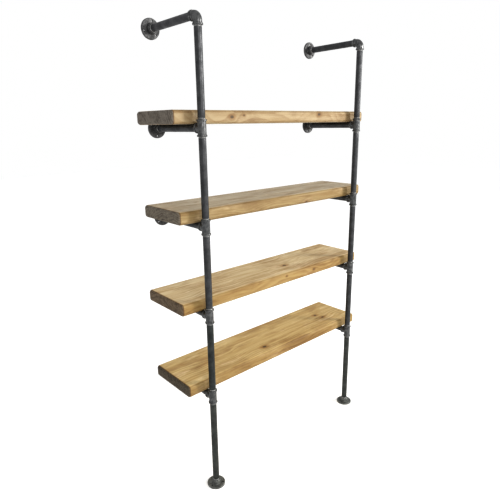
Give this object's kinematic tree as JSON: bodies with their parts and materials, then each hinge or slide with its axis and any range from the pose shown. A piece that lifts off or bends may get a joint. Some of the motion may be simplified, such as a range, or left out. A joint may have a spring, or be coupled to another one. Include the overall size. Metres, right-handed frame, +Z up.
{
  "type": "pipe shelving unit",
  "caption": "Tall open shelving unit: thick pine boards rest on arms of dark screwed steel pipe, between front posts and round flanges on the wall.",
  "frame": {"origin": "on the floor plane, in the middle of the whole width (the boards' ends) and of the whole depth", "axes": "+X along the boards to the right as seen from the front, -Y the front, +Y towards the wall, +Z up"},
  "size_m": [1.1, 0.346, 1.895],
  "materials": {
    "pipe": "dark steel pipe, oiled, satin",
    "casting": "rough as cast, dark grey",
    "board": "waxed pine with grain and knots, dark end grain"
  },
  "bodies": {
    "root": {"left_floor_flange": "casting", "left_post_pipe_1": "pipe", "left_post_pipe_2": "pipe", "left_post_pipe_3": "pipe", "left_post_pipe_4": "pipe", "left_post_pipe_5": "pipe", "left_tee_1": "casting", "left_tee_2": "casting", "left_tee_3": "casting", "left_tee_4": "casting", "left_elbow": "casting", "left_arm_pipe_1": "pipe", "left_wall_flange_1": "casting", "left_arm_pipe_2": "pipe", "left_wall_flange_2": "casting", "left_arm_pipe_3": "pipe", "left_wall_flange_3": "casting", "left_arm_pipe_4": "pipe", "left_wall_flange_4": "casting", "left_top_arm_pipe": "pipe", "left_top_wall_flange": "casting", "right_floor_flange": "casting", "right_post_pipe_1": "pipe", "right_post_pipe_2": "pipe", "right_post_pipe_3": "pipe", "right_post_pipe_4": "pipe", "right_post_pipe_5": "pipe", "right_tee_1": "casting", "right_tee_2": "casting", "right_tee_3": "casting", "right_tee_4": "casting", "right_elbow": "casting", "right_arm_pipe_1": "pipe", "right_wall_flange_1": "casting", "right_arm_pipe_2": "pipe", "right_wall_flange_2": "casting", "right_arm_pipe_3": "pipe", "right_wall_flange_3": "casting", "right_arm_pipe_4": "pipe", "right_wall_flange_4": "casting", "right_top_arm_pipe": "pipe", "right_top_wall_flange": "casting", "shelf_board_1": "board", "shelf_board_2": "board", "shelf_board_3": "board", "shelf_board_4": "board"}
  },
  "joints": []
}
